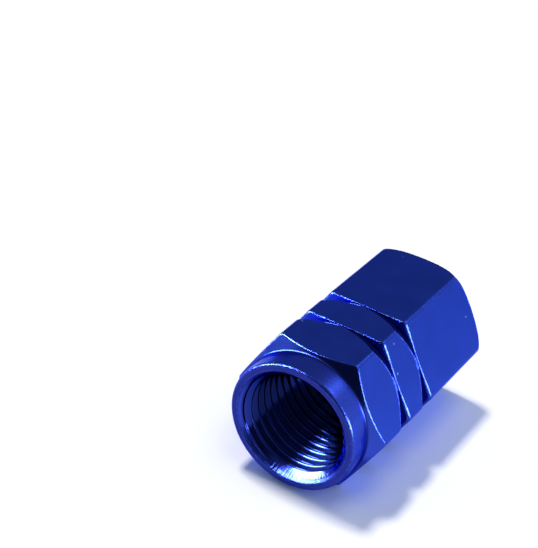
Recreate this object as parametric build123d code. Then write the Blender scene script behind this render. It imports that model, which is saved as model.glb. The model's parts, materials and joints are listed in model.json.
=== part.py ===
from build123d import *

import os
from math import cos, pi, radians, tan

# Hexagon bar that the cap is turned from
across_flats = 10.0
bar_edge_radius = 0.45

# Closed end: a flat face in a wide turned rounding, which trims the six corners
end_round_radius = 1.35

# Lengths along the middle of a flat, from the closed end to the mouth
body_length = 8.4
band_length = 2.82
collar_length = 3.61
neck_length = 1.79

# Two turned grooves, each with a square wall below and a sloping flank above
groove_depth = 0.17
groove_flank_angle = 54.0
groove_root_radius = 0.05

# Coned shoulder and round neck, its wall measured over the thread
neck_wall = 0.8
shoulder_angle = 35.0
neck_root_radius = 1.0
rim_edge_radius = 0.25

# Tapped hole for the valve stem, its wall at the thread's largest diameter
thread_diameter = 7.8
thread_depth = 9.0
thread_height = 0.4
thread_runout = 0.6
countersink_step = 0.27
countersink_angle = 45.0

# Drilled end of the hole beyond the thread
drill_clear_depth = 1.2
drill_point_angle = 118.0

# How far the turning profile stands clear of the bar's corners
profile_clearance = 0.06

HEX_SIDES = 6


def cone_rise(from_radius, to_radius, angle):
    """Height gained by a cone between two radii, its slope measured from a flat turned face."""
    return (to_radius - from_radius) * tan(radians(angle))


def corner_at(face, radius, height):
    """The profile's corner at a radius and height."""
    return face.vertices().sort_by_distance((radius, height, 0))[0]


# Radii
flat_radius = across_flats / 2
corner_radius = flat_radius / cos(pi / HEX_SIDES)
clear_radius = corner_radius + profile_clearance
groove_radius = flat_radius - groove_depth
thread_radius = thread_diameter / 2
neck_radius = thread_radius + neck_wall
mouth_radius = thread_radius + countersink_step
drill_radius = thread_radius - thread_height

# Heights above the closed end
groove_width = cone_rise(groove_radius, flat_radius, groove_flank_angle)
body_top = body_length
band_bottom = body_top + groove_width
band_top = band_bottom + band_length
collar_bottom = band_top + groove_width
collar_top = collar_bottom + collar_length
neck_bottom = collar_top + cone_rise(neck_radius, flat_radius, shoulder_angle)
mouth_height = neck_bottom + neck_length
countersink_bottom = mouth_height - cone_rise(thread_radius, mouth_radius, countersink_angle)
thread_bottom = mouth_height - thread_depth
drill_top = thread_bottom - thread_runout
drill_bottom = drill_top - drill_clear_depth
drill_tip = drill_bottom - drill_radius / tan(radians(drill_point_angle / 2))


def groove_points(wall_height):
    """A groove's outline upwards from its square wall: wall in to the root, and flank out again."""
    flank_top = wall_height + cone_rise(groove_radius, clear_radius, groove_flank_angle)
    return [
        (clear_radius, wall_height),
        (groove_radius, wall_height),
        (clear_radius, flank_top),
    ]


def turned_profile():
    """Half section of everything that the lathe cuts, outside and inside the hole."""
    shoulder_foot = neck_bottom - cone_rise(neck_radius, clear_radius, shoulder_angle)
    outside = [
        (0, 0),
        (clear_radius, 0),
        *groove_points(body_top),
        *groove_points(band_top),
        (clear_radius, shoulder_foot),
        (neck_radius, neck_bottom),
        (neck_radius, mouth_height),
    ]
    inside = [
        (mouth_radius, mouth_height),
        (thread_radius, countersink_bottom),
        (thread_radius, thread_bottom),
        (drill_radius, drill_top),
        (drill_radius, drill_bottom),
        (0, drill_tip),
    ]
    section = make_face(Polyline(*outside, *inside, close=True))
    rounded = [
        (clear_radius, 0, end_round_radius),
        (groove_radius, body_top, groove_root_radius),
        (groove_radius, band_top, groove_root_radius),
        (neck_radius, neck_bottom, neck_root_radius),
        (neck_radius, mouth_height, rim_edge_radius),
    ]
    for radius, height, fillet_radius in rounded:
        section = fillet(corner_at(section, radius, height), fillet_radius)
    return section


def hexagon_bar():
    """The bar, as long as the cap, with its six long edges rounded."""
    hexagon = RegularPolygon(flat_radius, HEX_SIDES, major_radius=False)
    hexagon = fillet(hexagon.vertices(), bar_edge_radius)
    return extrude(hexagon, mouth_height)


def valve_cap():
    """The turned bar, laid on one of its flats with the mouth to the front."""
    turned = revolve(Plane.XZ * turned_profile(), Axis.Z)
    upright = hexagon_bar() & turned
    return Pos(0, mouth_height / 2, flat_radius) * Rot(90, 0, 0) * upright


os.makedirs("parts", exist_ok=True)
export_step(valve_cap(), "parts/valve_cap.step")
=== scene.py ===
"""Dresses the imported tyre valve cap: a blue anodised hexagon cap with its valve thread, on a pale floor."""

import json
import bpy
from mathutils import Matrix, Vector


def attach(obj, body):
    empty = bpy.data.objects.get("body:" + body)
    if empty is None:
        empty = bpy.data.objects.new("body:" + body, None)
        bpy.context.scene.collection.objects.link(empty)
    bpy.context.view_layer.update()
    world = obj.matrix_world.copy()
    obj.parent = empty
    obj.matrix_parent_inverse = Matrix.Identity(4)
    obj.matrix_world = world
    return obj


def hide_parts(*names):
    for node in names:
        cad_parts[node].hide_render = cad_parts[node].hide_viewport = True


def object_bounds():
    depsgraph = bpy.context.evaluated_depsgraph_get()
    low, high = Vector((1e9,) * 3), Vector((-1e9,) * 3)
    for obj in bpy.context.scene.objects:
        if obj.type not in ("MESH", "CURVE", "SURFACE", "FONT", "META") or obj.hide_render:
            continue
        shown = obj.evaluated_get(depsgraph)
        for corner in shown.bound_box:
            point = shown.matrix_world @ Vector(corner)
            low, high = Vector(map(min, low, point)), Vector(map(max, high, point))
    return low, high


bl_info = {
    "name": "Anodised Valve Cap",
    "version": (1, 0, 0),
    "blender": (4, 5, 0),
    "location": "View3D > Sidebar > Valve Cap",
    "description": "Builds a turned hexagon valve cap with its thread, and the stage that it is shown on",
    "category": "Add Mesh",
}

from typing import NamedTuple

import bpy
import numpy as np
from bpy.props import FloatProperty, FloatVectorProperty, PointerProperty
from mathutils import Matrix, Quaternion, Vector

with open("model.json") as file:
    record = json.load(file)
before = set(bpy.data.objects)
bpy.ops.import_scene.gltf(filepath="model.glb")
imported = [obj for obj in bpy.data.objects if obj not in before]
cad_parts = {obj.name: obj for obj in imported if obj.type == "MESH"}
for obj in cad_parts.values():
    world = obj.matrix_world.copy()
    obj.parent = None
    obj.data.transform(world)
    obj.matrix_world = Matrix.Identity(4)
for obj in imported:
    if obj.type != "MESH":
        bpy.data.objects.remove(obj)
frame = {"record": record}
CAD_LOW, CAD_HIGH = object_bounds()
MOUNTS = {mount["name"]: mount for mount in frame["record"]["mounts"]}

MM = 0.001
CAP_NODE = "valve_cap"
CAP_BODY = "root"

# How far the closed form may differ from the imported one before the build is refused
LENGTH_TOLERANCE = 0.02 * MM

# The bar: a side spans a sixth of a turn, and half of that lies between a corner and a flat's middle
BAR_SIDES = 6
SIXTH = np.pi / 3
HALF_SIXTH = np.pi / 6

# Mesh columns on half of a rounded bar edge and on half of a flat. The flat's first two give way to one just
# beyond the edge, at BESIDE_EDGE times the edge's angle, so that the flat is shaded flat
EDGE_COLUMNS = 4
FLAT_COLUMNS = 22
BESIDE_EDGE = 1.25

# Shares of a profile's run that one corner's rounding, and a row beside its end, may take
ROUNDING_SHARE = 0.46
SUPPORT_SHARE = 0.25

# Marks on the metal: how many go to a millimetre, or for the chatter to one radian round the axis
RING_SCALE = 7.0
CHATTER_SCALE = 32.0
GRAIN_SCALE = 9.0
NICK_SCALE = 9.0
WEAR_SCALE = 3.5
SPECK_SCALE = 0.9
CLOUD_SCALE = 0.55
# The bar's drawn lines, squeezed across it and stretched along it, and their share in the satin
LINE_SCALES = (6.0, 0.35, 6.0)
LINE_SHARE = 0.3
# How far the chatter's marks lean, from one millimetre off the axis to the next
CHATTER_LEAN = (0.06, 0.0, 0.0)

# Heights of the marks, in steps of MARK_STEP
MARK_STEP = 0.0012 * MM
RING_HEIGHT = 1.3
CHATTER_HEIGHT = 44.0
SATIN_HEIGHT = 0.06
NICK_HEIGHT = 23.0
SPECK_HEIGHT = 1.5

# Noise values between which a mark grows from its least to its most
MARK_RANGE = (0.3, 0.7)
CLOUD_RANGE = (0.25, 0.75)
WEAR_RANGE = (0.45, 0.75)
# What the marks do there: shares of the dye, worn-off dye, and changes of the roughness
CLOUD_TONES = (0.9, 1.08)
WEAR_MOST = 0.3
SATIN_SPREAD = 0.02
RING_SPREAD = 0.03

# Specks: from full to gone, in parts of a cell, and the share of the cells that has none
SPECK_REACH = (0.03, 0.08)
SPECK_RARITY = 0.7

# Share of the clear layer's gloss that is left where shade is painted, in the grooves, neck root and thread
PAINTED_SHADE_GLOSS = 0.35

# From the cap's middle to every lamp, in metres
LAMP_DISTANCE = 0.4

# The floor lies this far below the cap, so that the two surfaces don't share a plane
FLOOR_GAP = 0.02 * MM

# Nearest and farthest points that the camera shows, in metres
CAMERA_CLIP = (0.005, 10.0)


def length(name, description, millimetres):
    """A property for a length, given in millimetres and kept in metres."""
    return FloatProperty(
        name=name, description=description, default=millimetres * MM, min=0.0, precision=5, unit="LENGTH"
    )


def angle(name, description, degrees):
    """A property for an angle, given in degrees and kept in radians."""
    return FloatProperty(name=name, description=description, default=np.radians(degrees), unit="ROTATION")


def share(name, description, default):
    """A property from 0 to 1, such as a roughness."""
    return FloatProperty(
        name=name, description=description, default=default, min=0.0, max=1.0, subtype="FACTOR"
    )


def colour(name, description, default):
    """A property for a colour, as linear red, green and blue."""
    return FloatVectorProperty(
        name=name, description=description, default=default, size=3, min=0.0, max=1.0, subtype="COLOR"
    )


class CapSizes(bpy.types.PropertyGroup):
    """Sizes of the turned cap"""

    across_flats: length("Across flats", "Width of the hexagon bar", (CAD_HIGH.z - CAD_LOW.z) / MM)
    bar_edge: length("Bar edge", "Rounding of the bar's six long edges", 0.45)
    end_round: length("End round", "Turned rounding of the closed end, which trims the corners", 1.35)
    end_clear: length("End clearance", "How far that rounding would stand clear of the sharp bar", 0.06)
    body_length: length("Body", "Flat of the long body, from the closed end to the first groove", 8.4)
    band_length: length("Band", "Flat of the narrow band between the grooves", 2.82)
    collar_length: length("Collar", "Flat of the collar between the second groove and the shoulder", 3.61)
    neck_length: length("Neck", "Round neck from the shoulder to the mouth", 1.79)
    groove_depth: length("Groove depth", "Depth of the turned grooves below a flat", 0.17)
    groove_flank: angle("Groove flank", "Slope of a groove's flank from square to the axis", 54.0)
    groove_root: length("Groove root", "Rounding at the bottom of the grooves", 0.05)
    shoulder: angle("Shoulder", "Slope of the shoulder from square to the axis", 35.0)
    neck_wall: length("Neck wall", "Wall of the neck over the thread", 0.8)
    neck_root: length("Neck root", "Rounding where the neck leaves the shoulder", 0.2)
    rim_edge: length("Rim edge", "Rounding of the mouth's outer edge", 0.25)
    edge_break: length("Edge break", "Rounding that tumbling leaves on turned edges across a flat", 0.22)
    corner_break: length("Corner break", "The same rounding at the bar's corners", 0.28)
    thread_radius: length("Thread radius", "Largest radius", MOUNTS["valve_thread"]["dims"]["r_mm"])
    thread_height: length("Thread height", "Height of the thread's ridges", 0.4)
    thread_pitch: length("Thread pitch", "Distance from one turn of the thread to the next", 0.794)
    thread_start: angle("Thread start", "Turn of the whole thread about the axis", 190.0)
    thread_depth: length("Thread depth", "Depth of the full thread below the mouth", 9.0)
    thread_runout: length("Thread run-out", "Length over which the thread fades into the drilled wall", 0.6)
    countersink: length("Countersink", "Step from the thread's largest radius out to the mouth's edge", 0.27)
    drill_clear: length("Drill clearance", "Plain drilled wall beyond the thread", 1.2)
    drill_point: angle("Drill point", "Angle of the drill's point", 118.0)


class CapFinish(bpy.types.PropertyGroup):
    """Colours and finish of the anodised metal"""

    dye: colour("Dye", "Colour of the anodised flats", (0.0235, 0.058, 0.475))
    dye_turned: colour("Turned dye", "Colour of the turned faces, more violet", (0.026, 0.055, 0.45))
    dye_rim: colour("Rim dye", "Colour of the faced rim, darker and more violet", (0.0165, 0.026, 0.25))
    dye_worn: colour("Worn dye", "Colour on edges, where the dyed layer is thin", (0.09, 0.16, 0.72))
    dye_grazing: colour("Grazing tint", "Tint of reflections at a low angle", (0.45, 0.48, 1.0))
    # Painted shade in the reflections: their tint where shade is painted in the thread and the grooves
    painted_shade_tint: colour("Hollow tint", "The same tint in the thread and the grooves", (0.08, 0.12, 0.4))
    speck: colour("Specks", "Colour of the dust specks", (0.32, 0.46, 0.95))
    flat_roughness: share("Flat roughness", "Roughness of the satin flats", 0.25)
    turned_roughness: share("Turned roughness", "Roughness of the turned cones and walls", 0.125)
    neck_roughness: share("Neck roughness", "Roughness of the neck and its root", 0.27)
    groove_roughness: share("Groove roughness", "Roughness of the grooves at their coarse corner", 0.7)
    edge_roughness: share("Edge roughness", "Roughness of the edges, which tumbling has polished", 0.16)
    rim_edge_roughness: share("Rim edge roughness", "Roughness of the rim's two edges", 0.26)
    thread_roughness: share("Thread roughness", "Roughness of the thread", 0.12)
    # Painted shade: how much darker the colour is made where the painted shade of the hollows is full
    painted_shade_strength: share("Hollow shade", "How much darker the dye is where a hollow is deepest", 0.93)
    seal: share("Seal", "Strength of the clear sealed layer's own gloss", 0.06)


class StageSettings(bpy.types.PropertyGroup):
    """Floor, lamps and camera"""

    floor_colour: colour("Floor", "Colour of the floor", (0.72, 0.74, 0.78))
    floor_glow: colour("Floor glow", "Even glow that lifts the floor to white", (0.0, 0.02, 0.07))
    sky_colour: colour("Sky", "Tint of the light from all round", (0.86, 0.93, 1.0))
    sky_level: share("Sky level", "Strength of the light from behind and above", 0.34)
    lamp_tint: colour("Lamp tint", "Colour of the key lamp, which casts the shadow", (1.0, 0.93, 0.79))
    floor_size: length("Floor size", "Width of the square floor", 4000.0)
    camera_azimuth: angle("Camera azimuth", "Turn of the camera from square to the mouth", 29.186)
    camera_elevation: angle("Camera elevation", "Height of the camera above the horizon", 32.110)
    camera_roll: angle("Camera roll", "Lean of the camera to its left", 6.661)
    camera_distance: length("Camera distance", "From the camera to the point that it looks at", 108.85)
    camera_aim: FloatVectorProperty(
        name="Camera aim",
        description="Point that the camera looks at",
        default=(-11.2079 * MM, 6.211 * MM, 5.0 * MM),
        size=3,
        precision=5,
        subtype="TRANSLATION",
        unit="LENGTH",
    )
    camera_lens: FloatProperty(
        name="Camera lens", description="Focal length, in millimetres", default=94.4, min=1.0, unit="CAMERA"
    )


def ramp(value, gone, full):
    """Share from 0 to 1 of the way from gone to full, held at 0 before it and at 1 beyond it."""
    return np.clip((value - gone) / (full - gone), 0.0, 1.0)


def from_corner(theta):
    """Angle to the bar's nearest corner. The corners lie at 0, 60 ... degrees."""
    return np.abs(np.mod(theta + HALF_SIXTH, SIXTH) - HALF_SIXTH)


def hexagon_edge(flat_radius, edge_radius):
    """A corner's rounding: its centre's distance from the axis, and the angle from the corner to its end.

    The rounding's circle touches both flats, so its centre is (flat - edge) / cos 30 from the axis. It ends
    where a flat's normal, 30 degrees from the corner, leaves that centre.
    """
    centre = (flat_radius - edge_radius) / np.cos(HALF_SIXTH)
    limit = np.arctan2(edge_radius * np.sin(HALF_SIXTH), centre + edge_radius * np.cos(HALF_SIXTH))
    return centre, limit


def hexagon_radius(theta, flat_radius, edge_radius):
    """Distance from the axis to the bar's surface at each angle.

    On a flat it is flat / cos(angle from the flat's middle), and near a corner it is the far crossing of the
    rounding's circle.
    """
    centre, limit = hexagon_edge(flat_radius, edge_radius)
    off = from_corner(theta)
    flat = flat_radius / np.cos(HALF_SIXTH - off)
    inside = np.clip(edge_radius**2 - (centre * np.sin(off)) ** 2, 0.0, None)
    return np.where(off < limit, centre * np.cos(off) + np.sqrt(inside), flat)


def column_angles(limit):
    """Angles of the mesh columns: close together on each rounded bar edge, even across each flat."""
    on_edge = np.linspace(0.0, limit, EDGE_COLUMNS)
    on_flat = np.linspace(limit, HALF_SIXTH, FLAT_COLUMNS)[2:]
    half = np.concatenate([on_edge, [BESIDE_EDGE * limit], on_flat])
    sixth = np.concatenate([half, SIXTH - half[-2:0:-1]])
    return (np.arange(BAR_SIDES)[:, None] * SIXTH + sixth[None, :]).ravel()


def rounded_rows(corners, kinds, arc_rows, support):
    """Rows of a profile whose corners are rounded, for every column at once.

    corners holds (radius, height, rounding) for each profile corner, as arrays over the columns, and kinds
    the finish of each run between two corners. A corner's rounding is an exact arc: it starts and ends
    rounding * tan(turn / 2) from the corner, but within its half of each run, and is the rational curve
    through those points with weight cos(turn / 2). Each run gets a row close to both of its ends, so that
    smooth shading keeps it flat. Returns radius and height of the rows, each row's finish, and how far it is
    on a convex edge.
    """
    columns = np.array([np.stack(np.broadcast_arrays(*corner)) for corner in corners])
    points, rounding = columns[:, :2], columns[1:-1, 2]
    run = np.diff(points, axis=0)
    span = np.linalg.norm(run, axis=1)
    run = run / span[:, None, :]
    before, after = run[:-1], run[1:]
    half_turn = 0.5 * np.arccos(np.clip((before * after).sum(1), -1.0, 1.0))
    convex = np.sign(before[:, 1] * after[:, 0] - before[:, 0] * after[:, 1]).mean(1) < 0
    reach = np.minimum(rounding * np.tan(half_turn), ROUNDING_SHARE * np.minimum(span[:-1], span[1:]))
    starts, ends = points[:-1].copy(), points[1:].copy()
    starts[1:] += after * reach[:, None, :]
    ends[:-1] -= before * reach[:, None, :]
    rows, finish, edge = [], [], []
    s = np.linspace(0.0, 1.0, arc_rows)[:, None, None]
    for k, kind in enumerate(kinds):
        gap = np.minimum(support, SUPPORT_SHARE * np.linalg.norm(ends[k] - starts[k], axis=0))
        near, far = starts[k] + run[k] * gap, ends[k] - run[k] * gap
        rows += [starts[k][None], near[None], far[None]]
        finish += [kind] * 3
        edge += [0.0] * 3
        if k < len(kinds) - 1:
            weight = np.cos(half_turn[k])[None, None, :]
            blend = (1 - s) ** 2, 2 * s * (1 - s) * weight, s**2
            arc = blend[0] * ends[k] + blend[1] * points[k + 1] + blend[2] * starts[k + 1]
            rows.append((arc / sum(blend))[:-1])
            finish += list(kind + (kinds[k + 1] - kind) * s[:-1, 0, 0])
            edge += list(np.sin(np.pi * s[:-1, 0, 0]) * convex[k])
    rows.append(ends[-1][None])
    rows = np.concatenate(rows)
    return rows[:, 0], rows[:, 1], np.array(finish + [kinds[-1]]), np.array(edge + [0.0])


def strip_faces(ids):
    """Quads between neighbouring rows of a grid of vertex numbers, whose last column closes it."""
    return np.stack([ids[:-1, :-1], ids[:-1, 1:], ids[1:, 1:], ids[1:, :-1]], -1).reshape(-1, 4)


def closed(ids):
    """A grid of vertex numbers with its first column repeated at the end, which closes it round the axis."""
    return np.concatenate([ids, ids[:, :1]], axis=1)


class CapForm:
    """The cap's surface as one closed grid: outside, rim, helical thread and drilled end.

    Radius r is measured from the cap's axis and height t from the closed end towards the mouth. A point at
    angle a is (r cos a, end - t, axis height + r sin a) in the row frame.
    """

    FLAT, TURNED = 0.0, 1.0
    # Rows on each rounded corner, and how far the row beside it lies from its end
    ARC_ROWS = 7
    SUPPORT = 0.04 * MM
    # Rows along the closed end's rounding, and the share of it that they cover before its soft outer edge
    END_ROWS = 9
    END_SHARE = 0.85
    # Depth of the countersink's plain part, before the thread's rows, and its edge's rounding in edge breaks
    LIP = 0.2 * MM
    LIP_ROUND = 0.9
    # One turn of the thread from the middle of a ridge: share of the turn, and of the ridge's height there
    RIDGE = np.array(
        [(0.0, 1.0), (0.05, 0.97), (0.1, 0.885), (0.18, 0.71), (0.28, 0.475), (0.38, 0.2), (0.46, 0.03),
         (0.54, 0.03), (0.62, 0.2), (0.72, 0.475), (0.82, 0.71), (0.9, 0.885), (0.95, 0.97)]
    )

    # Worn line on the bar's long edges: its width in rounded edges, and its strength
    BAR_LINE_WIDTH = 1.3
    BAR_LINE_WEAR = 0.35
    # Grooves: how far their mask may reach along the bar, the depth at which it is full, and their painted
    # shade
    GROOVE_BEFORE = 0.5 * MM
    GROOVE_BEYOND = 1.5 * MM
    GROOVE_FULL = 0.15 * MM
    GROOVE_SHADE = 0.4
    # Grooves' rougher corner, with painted light there: its angle, its spread, and how much lighter it is
    ROUGH_AND_PAINTED_LIT_ANGLE = np.radians(128.0)
    ROUGH_AND_PAINTED_LIT_SPREAD = np.radians(30.0)
    PAINTED_LIGHT_LIFT = 0.15
    # Neck: its root's painted shade and reach, and where its finish starts and how soon it is full, in root
    # roundings
    ROOT_SHADE = 0.92
    ROOT_REACH = 0.7
    NECK_START = 0.55
    NECK_FADE = 0.1
    # Mouth: lengths over which the rim's, the countersink's and the thread's finishes grow
    RIM_FADE = 0.12 * MM
    SUNK_FADE = 0.05 * MM
    THREAD_FADE = 0.3 * MM
    # Countersink's chatter: from none to full, by how far the wall faces upwards
    CHATTER_FACING = (0.45, 0.85)
    # Thread's roots: where they start and how soon they are full, in ridge heights, their painted shade, and
    # the depth below the mouth from which it is full
    THREAD_ROOT = 0.35
    THREAD_ROOT_FADE = 0.25
    THREAD_ROOT_SHADE = 0.9
    THREAD_ROOT_DEPTH = 1.4 * MM
    # All of the thread: its painted shade at the mouth, the depth over which a full shade is added, and its
    # most
    DEEP_START = 0.2
    DEEP_LENGTH = 4.0 * MM
    DEEP_MOST = 0.45
    # Painted shade on one side of the thread: its angle, the cosines from it at which it is gone and full,
    # the same three values as above, and the depths at which it is gone again and still full
    DIM_ANGLE = np.radians(128.0)
    DIM_COSINES = (-0.42, 0.18)
    DIM_START = 0.5
    DIM_LENGTH = 4.5 * MM
    DIM_MOST = 0.92
    DIM_DEPTHS = (9.6 * MM, 5.6 * MM)

    def __init__(self, size):
        self.size = size
        self.flat_radius = 0.5 * size.across_flats
        self.axis_height = CAD_LOW.z + self.flat_radius
        self.groove_radius = self.flat_radius - size.groove_depth
        self.end_radius = self.flat_radius / np.cos(HALF_SIXTH) + size.end_clear - size.end_round
        self.neck_radius = size.thread_radius + size.neck_wall
        self.mouth_radius = size.thread_radius + size.countersink
        self.drill_radius = size.thread_radius - size.thread_height
        groove = size.groove_depth * np.tan(size.groove_flank)
        shoulder = (self.flat_radius - self.neck_radius) * np.tan(size.shoulder)
        self.body_top = size.body_length
        self.band_top = self.body_top + groove + size.band_length
        self.collar_top = self.band_top + groove + size.collar_length
        self.neck_bottom = self.collar_top + shoulder
        self.mouth = self.neck_bottom + size.neck_length
        self.drill_top = self.mouth - size.thread_depth - size.thread_runout
        self.drill_bottom = self.drill_top - size.drill_clear
        self.drill_tip = self.drill_bottom - self.drill_radius / np.tan(0.5 * size.drill_point)
        _, self.edge_limit = hexagon_edge(self.flat_radius, size.bar_edge)
        self.theta = column_angles(self.edge_limit)
        self.bar = hexagon_radius(self.theta, self.flat_radius, size.bar_edge)

    def outside(self):
        """Rows from the closed end's face, over the flats, grooves, shoulder and rim, into the countersink.

        At each angle the turned profile is cut off where it meets the bar: a cone of slope s meets it at the
        height that s gives for the bar's own radius at that angle, and the closed end's rounding, an arc that
        leaves the end face smoothly, where the arc has climbed to that radius. Tumbled edges are softest at
        the bar's corners. Returns what rounded_rows does.
        """
        size, bar = self.size, self.bar
        even = np.ones_like(self.theta)
        end_turn = np.arcsin((bar - self.end_radius) / size.end_round)
        end_height = size.end_round * (1 - np.cos(end_turn))
        flank = (bar - self.groove_radius) * np.tan(size.groove_flank)
        shoulder = (bar - self.neck_radius) * np.tan(size.shoulder)
        soft = size.edge_break + (size.corner_break - size.edge_break) * (bar - bar.min()) / np.ptp(bar)
        arc = np.linspace(0.0, self.END_SHARE, self.END_ROWS)[:, None] * end_turn
        end_r = self.end_radius + size.end_round * np.sin(arc)
        end_t = size.end_round * (1 - np.cos(arc))
        corners = [
            (end_r[-1], end_t[-1], 0.0),
            (bar, end_height, soft),
            (bar, self.body_top * even, soft),
            (self.groove_radius * even, self.body_top * even, size.groove_root),
            (bar, self.body_top + flank, soft),
            (bar, self.band_top * even, soft),
            (self.groove_radius * even, self.band_top * even, size.groove_root),
            (bar, self.band_top + flank, soft),
            (bar, self.neck_bottom - shoulder, soft),
            (self.neck_radius * even, self.neck_bottom * even, size.neck_root),
            (self.neck_radius * even, self.mouth * even, size.rim_edge),
            (self.mouth_radius * even, self.mouth * even, self.LIP_ROUND * size.edge_break),
            ((self.mouth_radius - self.LIP) * even, (self.mouth - self.LIP) * even, 0.0),
        ]
        turned, flat = self.TURNED, self.FLAT
        kinds = [turned, flat, turned, turned, flat, turned, turned, flat] + [turned] * 4
        rows = rounded_rows(corners, kinds, self.ARC_ROWS, self.SUPPORT)
        end_rows = end_r, end_t, np.full(self.END_ROWS, turned), np.zeros(self.END_ROWS)
        return [np.concatenate([end[:-1], row]) for end, row in zip(end_rows, rows)]

    def thread(self, first):
        """Rows that follow the thread's helix from depth first below the mouth to the end of its run-out.

        A row keeps one share p of a turn on the ridge's profile, so at angle a its depth is
        pitch * (turns + p - a / 2 pi) from the thread's start, held between the two ends. The radius is the
        thread's largest one less the ridge's height, never less than the countersink's cone, and along the
        run-out the ridge's height takes over the whole wall. Returns radius, depth and vertex numbers. Rows
        that are held at an end share that end's circle, and the seam joins each row's end to the start of the
        row that is a turn nearer the mouth.
        """
        size = self.size
        pitch = size.thread_pitch
        last = size.thread_depth + size.thread_runout
        knots = len(self.RIDGE)
        turns = int(np.ceil(last / pitch)) + 2
        p = (np.arange(-1, turns)[:, None] + self.RIDGE[None, :, 0]).ravel()
        ridge = np.tile(self.RIDGE[:, 1], turns + 1)[:, None]
        raw = pitch * (p[:, None] - (self.theta[None, :] - size.thread_start) / (2 * np.pi))
        depth = np.clip(raw, first, last)
        fade = ramp(depth, size.thread_depth, last)
        radius = size.thread_radius - size.thread_height * np.maximum(ridge, fade)
        radius = np.maximum(radius, self.mouth_radius - depth)
        rows, columns = raw.shape
        ids = np.arange(rows * columns).reshape(rows, columns)
        ids = np.where(raw <= first, ids[:1], np.where(raw >= last, ids[-1:], ids))
        seam = np.concatenate([np.repeat(ids[:1, 0], knots), ids[:-knots, 0]])
        return radius, depth, np.concatenate([ids, seam[:, None]], axis=1)

    def drilled_end(self):
        """Radius and height of the rows of the plain drilled wall and the drill's cone, down to its tip.

        The tip lies radius / tan(half of the point's angle) beyond the wall.
        """
        even = np.ones_like(self.theta)
        corners = [
            (self.drill_radius * even, self.drill_top * even, 0.0),
            (self.drill_radius * even, self.drill_bottom * even, self.size.groove_root),
            (0.0 * even, self.drill_tip * even, 0.0),
        ]
        radius, height, *_ = rounded_rows(corners, [self.TURNED] * 2, self.ARC_ROWS, self.SUPPORT)
        return radius, height

    def place(self, radius, height):
        """Points of the row frame for rows of radius and height, one after the other."""
        x = radius * np.cos(self.theta)
        z = self.axis_height + radius * np.sin(self.theta)
        return np.stack([x, CAD_HIGH.y - height, z], -1).reshape(-1, 3)

    def on_axis(self, height):
        """The axis's point of the row frame at a height."""
        return np.array([[0.0, CAD_HIGH.y - height, self.axis_height]])

    def build(self):
        """Vertices, faces and the finish masks of the whole closed surface."""
        *outside, out_finish, out_edge = self.outside()
        in_r, in_depth, in_ids = self.thread(self.mouth - outside[1][-1, 0])

        # The thread's end circles stand for the rows that meet them, and the drill's last row is a pole
        out_r, out_t = (rows[:-1] for rows in outside)
        end_r, end_t = (rows[1:-1] for rows in self.drilled_end())
        columns = len(self.theta)
        out_ids = np.arange(out_r.size).reshape(out_r.shape)
        in_ids = in_ids + out_r.size
        end_ids = np.arange(end_r.size).reshape(end_r.shape) + out_r.size + in_r.size
        pole, tip = out_r.size + in_r.size + end_r.size + np.arange(2)

        points = np.concatenate(
            [
                self.place(out_r, out_t),
                self.place(in_r, self.mouth - in_depth),
                self.place(end_r, end_t),
                self.on_axis(0.0),
                self.on_axis(self.drill_tip),
            ]
        )
        quads = np.concatenate(
            [
                strip_faces(closed(np.concatenate([out_ids, in_ids[:1, :-1]]))),
                strip_faces(in_ids),
                strip_faces(closed(np.concatenate([in_ids[-1:, :-1], end_ids]))),
            ]
        )
        shut_left, shut_right = quads[:, 0] == quads[:, 3], quads[:, 1] == quads[:, 2]
        triangles = np.concatenate(
            [
                np.stack([np.full(columns, pole), np.roll(out_ids[0], -1), out_ids[0]], -1),
                np.stack([np.full(columns, tip), end_ids[-1], np.roll(end_ids[-1], -1)], -1),
                quads[shut_left & ~shut_right][:, :3],
                quads[shut_right & ~shut_left][:, [0, 1, 3]],
            ]
        )
        quads = quads[~shut_left & ~shut_right]
        out_finish, out_edge = out_finish[:-1, None], out_edge[:-1, None]
        masks = self.masks(out_r, out_t, out_finish, out_edge, in_r, in_depth, end_r.size)
        return points, quads, triangles, masks

    def masks(self, out_r, out_t, out_finish, out_edge, in_r, in_depth, drilled_count):
        """Masks from 0 to 1 that tell the material which finish each point has, and where shade is painted.

        Each runs over the points outside, those of the thread, those of the drilled end, and the two poles.
        Most are even ramps over a radius, a height, a depth or an angle.
        """
        size, theta = self.size, self.theta

        def over_all(on_outside, in_thread=0.0, drilled=0.0, pole=0.0):
            outer = np.broadcast_to(on_outside, out_r.shape).ravel()
            inner = np.broadcast_to(in_thread, in_r.shape).ravel()
            return np.concatenate([outer, inner, np.full(drilled_count, drilled), [pole, drilled]])

        # Edges: the tumbled ones, and faintly the bar's long ones
        bar_line = ramp(from_corner(theta), self.BAR_LINE_WIDTH * self.edge_limit, 0.0)
        edge = np.maximum(out_edge, self.BAR_LINE_WEAR * (1.0 - out_finish) * bar_line)

        # Grooves, by their depth below the bar, with painted shade that painted light lifts at one corner
        first, last = self.body_top - self.GROOVE_BEFORE, self.band_top + self.GROOVE_BEYOND
        groove = ramp(self.bar - out_r, 0.0, self.GROOVE_FULL) * (out_t > first) * (out_t < last)
        rough_and_painted_lit = ramp(np.abs(theta - self.ROUGH_AND_PAINTED_LIT_ANGLE), self.ROUGH_AND_PAINTED_LIT_SPREAD, 0.0)
        groove_painted_shade = (self.GROOVE_SHADE - self.PAINTED_LIGHT_LIFT * rough_and_painted_lit) * groove

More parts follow.
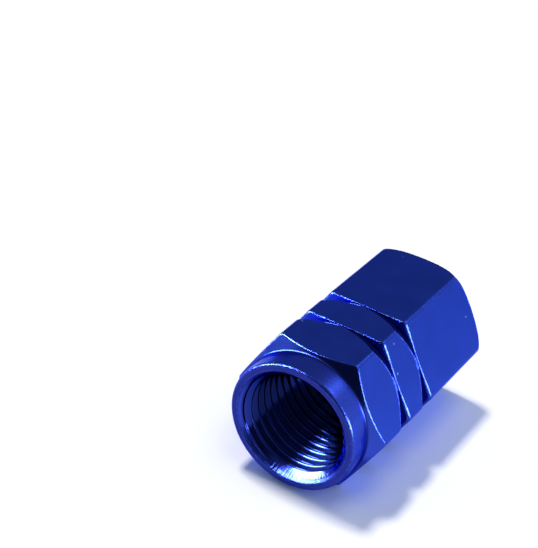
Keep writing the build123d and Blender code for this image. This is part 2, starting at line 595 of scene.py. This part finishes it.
        # Neck and its root, with painted shade in the root
        past_collar = out_t > self.collar_top
        from_root = np.hypot(out_r - self.neck_radius, out_t - self.neck_bottom)
        root_painted_shade = self.ROOT_SHADE * ramp(from_root, self.ROOT_REACH * size.neck_root, 0.0)
        neck_start = self.neck_radius + self.NECK_START * size.neck_root
        neck = ramp(out_r, neck_start, neck_start - self.NECK_FADE * size.neck_root) * past_collar

        # Mouth: faced rim, countersink with its chatter, and where the thread's own finish starts
        rim = ramp(out_t, self.mouth - self.RIM_FADE, self.mouth)
        sunk = ramp(out_r, self.mouth_radius, self.mouth_radius - self.SUNK_FADE) * past_collar
        chatter = ramp(-np.sin(theta), *self.CHATTER_FACING)
        inside = ramp(in_depth, size.countersink, size.countersink + self.THREAD_FADE)

        # Thread: painted shade, darkest in its roots, growing deeper in, and on one side
        root = size.thread_radius - self.THREAD_ROOT * size.thread_height
        near_root = ramp(in_r, root, root + self.THREAD_ROOT_FADE * size.thread_height)
        painted_root_shade = self.THREAD_ROOT_SHADE * near_root * ramp(in_depth, 0.0, self.THREAD_ROOT_DEPTH)
        deep_painted_shade = np.minimum(self.DEEP_START + in_depth / self.DEEP_LENGTH, self.DEEP_MOST)
        painted_dim_side = np.minimum(self.DIM_START + in_depth / self.DIM_LENGTH, self.DIM_MOST)
        painted_dim_side = painted_dim_side * ramp(np.cos(theta - self.DIM_ANGLE), *self.DIM_COSINES) * ramp(in_depth, *self.DIM_DEPTHS)
        thread_painted_shade = np.maximum(np.maximum(painted_root_shade, deep_painted_shade), painted_dim_side) * inside

        # Painted shade: in the grooves, the neck's root and the thread, and in full on the drilled end
        return {
            "turned": over_all(out_finish, self.TURNED, self.TURNED, self.TURNED),
            "edge": over_all(edge),
            "painted_shade": over_all(np.maximum(groove_painted_shade, root_painted_shade), thread_painted_shade, 1.0),
            "thread": over_all(0.0, inside, 1.0),
            "neck": over_all(neck),
            "rim": over_all(rim, 1.0 - inside),
            "countersink": over_all(chatter * sunk, chatter * (1.0 - inside)),
            "groove": over_all(rough_and_painted_lit * groove),
        }


def mesh_object(name, points, quads, triangles, masks):
    """A smooth mesh object at the origin from whole arrays, with a float attribute for each mask.

    Points that no face uses are left out.
    """
    used, numbers = np.unique(np.concatenate([quads.ravel(), triangles.ravel()]), return_inverse=True)
    faces = numbers[: quads.size].reshape(-1, 4).tolist() + numbers[quads.size :].reshape(-1, 3).tolist()
    mesh = bpy.data.meshes.new(name)
    mesh.from_pydata(points[used].tolist(), [], faces)
    mesh.polygons.foreach_set("use_smooth", np.ones(len(faces), bool))
    for key, values in masks.items():
        attribute = mesh.attributes.new(key, "FLOAT", "POINT")
        attribute.data.foreach_set("value", values[used].astype(np.float32))
    mesh.update()
    made = bpy.data.objects.new(name, mesh)
    bpy.context.scene.collection.objects.link(made)
    return made


class NodeDesk:
    """Places shader nodes of one tree and links them, so that a material reads as a list of steps."""

    def __init__(self, tree):
        self.tree = tree
        self.tree.nodes.clear()

    def add(self, kind, settings=None, **inputs):
        """A node of that kind with its settings. An input is a value or another node's output socket."""
        node = self.tree.nodes.new(kind)
        for key, value in (settings or {}).items():
            setattr(node, key, value)
        for key, value in inputs.items():
            self.put(node, key.replace("_", " "), value)
        return node

    def put(self, node, name, value):
        """Links or sets one input, found by its name, or by its number where the name is a digit."""
        socket = node.inputs[int(name)] if name.isdigit() else node.inputs[name]
        if isinstance(value, bpy.types.NodeSocket):
            self.tree.links.new(value, socket)
        else:
            socket.default_value = value

    def maths(self, operation, a, b, clamp=False):
        """One arithmetic step on values."""
        node = self.add("ShaderNodeMath", {"operation": operation, "use_clamp": clamp})
        self.put(node, "0", a)
        self.put(node, "1", b)
        return node.outputs[0]

    def vector_maths(self, operation, a, b=(0.0, 0.0, 0.0)):
        """One arithmetic step on vectors."""
        node = self.add("ShaderNodeVectorMath", {"operation": operation})
        self.put(node, "0", a)
        self.put(node, "1", b)
        return node.outputs["Value" if operation in ("LENGTH", "DOT_PRODUCT") else "Vector"]

    def scaled(self, vector, scale):
        """A vector or colour times a value."""
        node = self.add("ShaderNodeVectorMath", {"operation": "SCALE"}, Vector=vector, Scale=scale)
        return node.outputs["Vector"]

    def between(self, value, low, high, to_low=0.0, to_high=1.0, smooth=False):
        """Value's place from low to high, carried over to a new range and held within it."""
        node = self.add("ShaderNodeMapRange", {"interpolation_type": "SMOOTHSTEP" if smooth else "LINEAR"})
        names = "Value", "From Min", "From Max", "To Min", "To Max"
        for name, item in zip(names, (value, low, high, to_low, to_high)):
            self.put(node, name, item)
        return node.outputs["Result"]

    def mix(self, factor, a, b):
        """Value b over value a by a factor."""
        node = self.add("ShaderNodeMix", {"data_type": "FLOAT"})
        for number, item in zip("023", (factor, a, b)):
            self.put(node, number, item)
        return node.outputs[0]

    def mix_colour(self, factor, a, b):
        """Colour b over colour a by a factor."""
        node = self.add("ShaderNodeMix", {"data_type": "RGBA"})
        for number, item in zip("067", (factor, a, b)):
            self.put(node, number, item)
        return node.outputs[2]

    def attribute(self, name):
        """A mask that the mesh carries."""
        return self.add("ShaderNodeAttribute", {"attribute_name": name}).outputs["Fac"]

    def noise(self, vector, scale, detail=2.0, roughness=0.5):
        """Soft random values from 0 to 1 over a vector."""
        node = self.add("ShaderNodeTexNoise", Vector=vector, Scale=scale, Detail=detail, Roughness=roughness)
        return node.outputs["Fac"]


def rgba(values):
    """A colour with full alpha."""
    return (*values, 1.0)


def anodised_material(finish, axis_height):
    """Blue anodised aluminium: satin grain on the flats, turning marks elsewhere, thinner dye on the edges.

    Places on the surface are read in millimetres of Object coordinates, from the cap's axis. Turning marks
    depend only on the distance from the axis and along it, so they run round the cap as a lathe leaves them.
    Shade is painted into the colour, the clear layer's gloss and the reflections' tint in the grooves, the
    neck's root and the thread, and painted light lifts it at one corner of the grooves.
    """
    material = bpy.data.materials.new("blue_anodised_aluminium")
    material.use_nodes = True
    desk = NodeDesk(material.node_tree)
    place = desk.add("ShaderNodeTexCoord").outputs["Object"]
    centred = desk.vector_maths("SUBTRACT", place, (0.0, 0.0, axis_height))
    spot = desk.vector_maths("MULTIPLY", centred, (1 / MM,) * 3)
    turned, edge, painted_shade, groove = map(desk.attribute, ("turned", "edge", "painted_shade", "groove"))
    thread, neck, rim, countersink = map(desk.attribute, ("thread", "neck", "rim", "countersink"))

    # Lathe marks: noise over the distance from the axis and the distance along it
    along = desk.add("ShaderNodeSeparateXYZ", Vector=spot).outputs["Y"]
    off_axis = desk.vector_maths("MULTIPLY", spot, (1.0, 0.0, 1.0))
    out = desk.vector_maths("LENGTH", off_axis)
    ring_place = desk.add("ShaderNodeCombineXYZ", X=out, Y=along).outputs["Vector"]
    rings = desk.noise(ring_place, RING_SCALE, detail=3.0, roughness=0.6)

    # Coarse chatter of the countersink: noise over the angle round the axis, so its marks run outwards
    around = desk.vector_maths("NORMALIZE", off_axis)
    lean = desk.vector_maths("MULTIPLY", ring_place, CHATTER_LEAN)
    chatter = desk.noise(desk.vector_maths("ADD", around, lean), CHATTER_SCALE, roughness=0.6)

    # Satin flats: an even fine grain with faint lines along the drawn bar
    grain = desk.noise(spot, GRAIN_SCALE, roughness=0.6)
    lines = desk.noise(desk.vector_maths("MULTIPLY", spot, LINE_SCALES), 1.0)
    satin = desk.mix(LINE_SHARE, grain, lines)

    # Dust specks, in the middle of a few cells of the surface, but not on the rim and in the thread
    cells = desk.add("ShaderNodeTexVoronoi", Vector=spot, Scale=SPECK_SCALE, Randomness=1.0)
    speck_size = desk.between(cells.outputs["Distance"], *SPECK_REACH, 1.0, 0.0)
    speck_draw = desk.add("ShaderNodeSeparateColor", Color=cells.outputs["Color"]).outputs["Red"]
    chosen = desk.maths("GREATER_THAN", speck_draw, SPECK_RARITY)
    clean = desk.maths("MAXIMUM", thread, rim)
    specks = desk.maths("MULTIPLY", speck_size, desk.maths("SUBTRACT", chosen, clean, clamp=True))

    # Colour: slow changes of the dye, painted shade in the hollows, thin dye on worn edges, and specks
    cloud = desk.noise(spot, CLOUD_SCALE)
    tone_and_painted_shade = desk.between(cloud, *CLOUD_RANGE, *CLOUD_TONES)
    # Painted shade: the colour darkens where the painted shade of the hollows is full
    tone_and_painted_shade = desk.maths("MULTIPLY", tone_and_painted_shade, desk.between(painted_shade, 0.0, 1.0, 1.0, 1.0 - finish.painted_shade_strength))
    dye = desk.mix_colour(turned, rgba(finish.dye), rgba(finish.dye_turned))
    dye = desk.scaled(desk.mix_colour(rim, dye, rgba(finish.dye_rim)), tone_and_painted_shade)
    worn = desk.between(desk.noise(spot, WEAR_SCALE), *WEAR_RANGE, 0.0, WEAR_MOST)
    dye = desk.mix_colour(desk.maths("MULTIPLY", edge, worn), dye, rgba(finish.dye_worn))
    base = desk.mix_colour(specks, dye, rgba(finish.speck))

    # Roughness: satin flats, turned faces with the neck and the coarse groove corner, edges and thread
    satin_low, satin_high = finish.flat_roughness - SATIN_SPREAD, finish.flat_roughness + SATIN_SPREAD
    flat_roughness = desk.between(satin, *MARK_RANGE, satin_low, satin_high)
    turned_roughness = desk.mix(neck, finish.turned_roughness, finish.neck_roughness)
    ring_change = desk.between(rings, *MARK_RANGE, -RING_SPREAD, RING_SPREAD)
    turned_roughness = desk.maths("ADD", turned_roughness, ring_change)
    turned_roughness = desk.mix(groove, turned_roughness, finish.groove_roughness)
    roughness = desk.mix(turned, flat_roughness, turned_roughness)
    roughness = desk.mix(edge, roughness, finish.edge_roughness)
    roughness = desk.mix(desk.maths("MULTIPLY", edge, rim), roughness, finish.rim_edge_roughness)
    roughness = desk.mix(thread, roughness, finish.thread_roughness)

    # Relief: turning marks or chatter on turned faces, satin on flats, nicks on edges, and specks
    ring_height = desk.maths("MULTIPLY", rings, RING_HEIGHT)
    chatter_height = desk.maths("MULTIPLY", chatter, CHATTER_HEIGHT)
    satin_height = desk.maths("MULTIPLY", satin, SATIN_HEIGHT)
    height = desk.mix(turned, satin_height, desk.mix(countersink, ring_height, chatter_height))
    nicks = desk.noise(spot, NICK_SCALE, detail=3.0, roughness=0.6)
    nick_height = desk.maths("MULTIPLY", nicks, desk.maths("MULTIPLY", edge, NICK_HEIGHT))
    speck_height = desk.maths("MULTIPLY", specks, SPECK_HEIGHT)
    height = desk.maths("ADD", height, desk.maths("ADD", nick_height, speck_height))
    bump = desk.add("ShaderNodeBump", Strength=1.0, Distance=MARK_STEP, Height=height)

    metal = desk.add(
        "ShaderNodeBsdfPrincipled",
        Base_Color=base,
        Roughness=roughness,
        Metallic=1.0,
        Normal=bump.outputs["Normal"],
        # Painted shade also takes away the clear layer's gloss and darkens the reflections' tint in the
        # hollows
        Coat_Weight=desk.between(painted_shade, 0.0, 1.0, finish.seal, PAINTED_SHADE_GLOSS * finish.seal),
        Specular_Tint=desk.mix_colour(painted_shade, rgba(finish.dye_grazing), rgba(finish.painted_shade_tint)),
        Coat_Roughness=0.08,
        Coat_IOR=1.5,
    )
    desk.add("ShaderNodeOutputMaterial", Surface=metal.outputs["BSDF"])
    return material


class OBJECT_OT_build_valve_cap(bpy.types.Operator):
    """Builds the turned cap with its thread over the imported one"""

    bl_idname = "object.build_valve_cap"
    bl_label = "Build Valve Cap"
    bl_options = {"REGISTER", "UNDO"}

    def execute(self, context):
        form = CapForm(context.scene.cap_sizes)
        packed = CAD_HIGH.y - CAD_LOW.y
        if abs(form.mouth - packed) > LENGTH_TOLERANCE:
            raise RuntimeError(f"the sizes give {form.mouth:.6f} m, and the packed cap has {packed:.6f} m")
        cap = mesh_object("valve_cap_turned", *form.build())
        cap.data.materials.append(anodised_material(context.scene.cap_finish, form.axis_height))
        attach(cap, CAP_BODY)
        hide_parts(CAP_NODE)
        return {"FINISHED"}


def floor_material(settings):
    """Plain pale floor, which is lit and takes the cap's shadow.

    A small even glow, seen by the camera and in reflections only, lifts it to white.
    """
    material = bpy.data.materials.new("pale_floor")
    material.use_nodes = True
    desk = NodeDesk(material.node_tree)
    paths = desk.add("ShaderNodeLightPath")
    seen = desk.maths("MAXIMUM", paths.outputs["Is Camera Ray"], paths.outputs["Is Glossy Ray"])
    seen = desk.maths("MAXIMUM", seen, paths.outputs["Is Transmission Ray"])
    lit = desk.add("ShaderNodeBsdfDiffuse", Color=rgba(settings.floor_colour))
    glow = desk.add("ShaderNodeEmission", Color=rgba(settings.floor_glow), Strength=seen)
    both = desk.add("ShaderNodeAddShader")
    desk.put(both, "0", lit.outputs["BSDF"])
    desk.put(both, "1", glow.outputs["Emission"])
    desk.add("ShaderNodeOutputMaterial", Surface=both.outputs["Shader"])
    return material


def direction_to(azimuth, elevation):
    """Unit vector towards an azimuth a and an elevation e, in degrees: (sin a cos e, -cos a cos e, sin e).

    The azimuth runs from square to the mouth round to the right.
    """
    a, e = np.radians(azimuth), np.radians(elevation)
    return Vector((np.sin(a) * np.cos(e), -np.cos(a) * np.cos(e), np.sin(e)))


class SkyPatch(NamedTuple):
    """A round patch of the sky: full within one angle of its middle, and gone beyond another, in degrees"""

    azimuth: float
    elevation: float
    full: float
    gone: float
    strength: float


RIGHT_WALL = SkyPatch(azimuth=100.0, elevation=18.0, full=25.0, gone=75.0, strength=0.55)
LEFT_WALL = SkyPatch(azimuth=-65.0, elevation=18.0, full=15.0, gone=45.0, strength=0.45)
DARK_LEFT = SkyPatch(azimuth=-12.0, elevation=20.0, full=18.0, gone=38.0, strength=0.86)
DARK_RIGHT = SkyPatch(azimuth=26.0, elevation=20.0, full=18.0, gone=38.0, strength=0.86)


def studio_world(settings):
    """Light from all round: dim behind and above, a pale wall on each side, dark where the camera stands."""
    world = bpy.data.worlds.new("studio")
    world.use_nodes = True
    desk = NodeDesk(world.node_tree)
    direction = desk.add("ShaderNodeTexCoord").outputs["Generated"]

    def patch(sky):
        middle = tuple(direction_to(sky.azimuth, sky.elevation))
        near = desk.vector_maths("DOT_PRODUCT", direction, middle)
        gone, full = np.cos(np.radians(sky.gone)), np.cos(np.radians(sky.full))
        return desk.between(near, gone, full, 0.0, sky.strength, smooth=True)

    walls = desk.maths("ADD", patch(RIGHT_WALL), patch(LEFT_WALL))
    level = desk.maths("ADD", walls, settings.sky_level)
    dark = desk.maths("MAXIMUM", patch(DARK_LEFT), patch(DARK_RIGHT))
    level = desk.maths("MULTIPLY", level, desk.maths("SUBTRACT", 1.0, dark))
    light = desk.add("ShaderNodeBackground", Color=rgba(settings.sky_colour), Strength=level)
    desk.add("ShaderNodeOutputWorld", Surface=light.outputs["Background"])
    return world


class Lamp(NamedTuple):
    """A soft lamp that faces the cap's middle, placed and sized in degrees as seen from there

    The tilt raises the end that is further round to the right. A lamp that doesn't show isn't mirrored in the
    metal, and one that doesn't light is mirrored there and leaves the floor as it is.
    """

    name: str
    azimuth: float
    elevation: float
    size: tuple
    radiance: float
    tilt: float = 0.0
    tinted: bool = False
    lights: bool = True
    shows: bool = True


LAMPS = (
    Lamp("lamp_key", -98.0, 71.0, (8.0, 8.0), 158.0, tinted=True, shows=False),
    Lamp("lamp_above", 90.0, 80.0, (20.0, 20.0), 4.5, shows=False),
    Lamp("lamp_left", -63.3, 25.8, (52.0, 9.0), 80.0, tilt=48.0, lights=False),
    Lamp("lamp_left_edge", -59.0, 29.5, (62.0, 15.0), 4.0, tilt=48.0, lights=False),
    Lamp("lamp_right", 97.0, 8.0, (34.0, 14.0), 34.0, lights=False),
    Lamp("lamp_right_high", 146.0, 44.0, (12.0, 11.0), 5.8, lights=False),
)


def add_lamp(lamp, tint):
    """Places a lamp. Its power is radiance * pi * area."""
    width, height = (2 * LAMP_DISTANCE * np.tan(np.radians(degrees) / 2) for degrees in lamp.size)
    way = direction_to(lamp.azimuth, lamp.elevation)
    data = bpy.data.lights.new(lamp.name, "AREA")
    data.shape = "RECTANGLE"
    data.size, data.size_y = width, height
    data.energy = lamp.radiance * np.pi * width * height
    if lamp.tinted:
        data.color = tint
    made = bpy.data.objects.new(lamp.name, data)
    made.location = (CAD_LOW + CAD_HIGH) / 2 + way * LAMP_DISTANCE
    turn = way.to_track_quat("Z", "Y") @ Quaternion((0.0, 0.0, 1.0), np.radians(lamp.tilt))
    made.rotation_euler = turn.to_euler()
    made.visible_camera = False
    made.visible_diffuse, made.visible_glossy = lamp.lights, lamp.shows
    bpy.context.scene.collection.objects.link(made)


def add_camera(settings):
    """The camera at its azimuth, elevation and distance from the point that it looks at."""
    data = bpy.data.cameras.new("camera")
    data.lens = settings.camera_lens
    data.clip_start, data.clip_end = CAMERA_CLIP
    camera = bpy.data.objects.new("camera", data)
    way = direction_to(np.degrees(settings.camera_azimuth), np.degrees(settings.camera_elevation))
    turn = (
        Matrix.Rotation(settings.camera_azimuth, 4, "Z")
        @ Matrix.Rotation(np.pi / 2 - settings.camera_elevation, 4, "X")
        @ Matrix.Rotation(settings.camera_roll, 4, "Z")
    )
    stand = Vector(settings.camera_aim) + way * settings.camera_distance
    camera.matrix_world = Matrix.Translation(stand) @ turn
    bpy.context.scene.collection.objects.link(camera)
    return camera


class SCENE_OT_build_cap_stage(bpy.types.Operator):
    """Builds the floor, the lamps and the camera"""

    bl_idname = "scene.build_cap_stage"
    bl_label = "Build Stage"
    bl_options = {"REGISTER", "UNDO"}

    def execute(self, context):
        settings = context.scene.cap_stage
        half = 0.5 * settings.floor_size
        x, y = (a.ravel() for a in np.meshgrid([-half, half], [-half, half]))
        points = np.stack([x, y, np.full(4, CAD_LOW.z - FLOOR_GAP)], -1)
        floor = mesh_object("floor", points, np.array([[0, 1, 3, 2]]), np.zeros((0, 3), int), {})
        floor.data.materials.append(floor_material(settings))

        context.scene.world = studio_world(settings)
        for lamp in LAMPS:
            add_lamp(lamp, settings.lamp_tint)
        context.scene.camera = add_camera(settings)
        context.scene.view_settings.view_transform = "Standard"
        return {"FINISHED"}


class VIEW3D_PT_valve_cap(bpy.types.Panel):
    """Sidebar panel with the cap's sizes, finish and stage"""

    bl_label = "Valve Cap"
    bl_idname = "VIEW3D_PT_valve_cap"
    bl_space_type = "VIEW_3D"
    bl_region_type = "UI"
    bl_category = "Valve Cap"

    def draw(self, context):
        groups = (
            (context.scene.cap_sizes, None),
            (context.scene.cap_finish, OBJECT_OT_build_valve_cap),
            (context.scene.cap_stage, SCENE_OT_build_cap_stage),
        )
        for settings, operator in groups:
            box = self.layout.box()
            for key in settings.__annotations__:
                box.prop(settings, key)
            if operator:
                box.operator(operator.bl_idname)


CLASSES = (
    CapSizes,
    CapFinish,
    StageSettings,
    OBJECT_OT_build_valve_cap,
    SCENE_OT_build_cap_stage,
    VIEW3D_PT_valve_cap,
)


def register():
    for cls in CLASSES:
        bpy.utils.register_class(cls)
    bpy.types.Scene.cap_sizes = PointerProperty(type=CapSizes)
    bpy.types.Scene.cap_finish = PointerProperty(type=CapFinish)
    bpy.types.Scene.cap_stage = PointerProperty(type=StageSettings)


def unregister():
    del bpy.types.Scene.cap_stage, bpy.types.Scene.cap_finish, bpy.types.Scene.cap_sizes
    for cls in reversed(CLASSES):
        bpy.utils.unregister_class(cls)


def main():
    """Builds the cap and its stage."""
    register()
    bpy.ops.object.build_valve_cap()
    bpy.ops.scene.build_cap_stage()


if __name__ == "__main__":
    main()
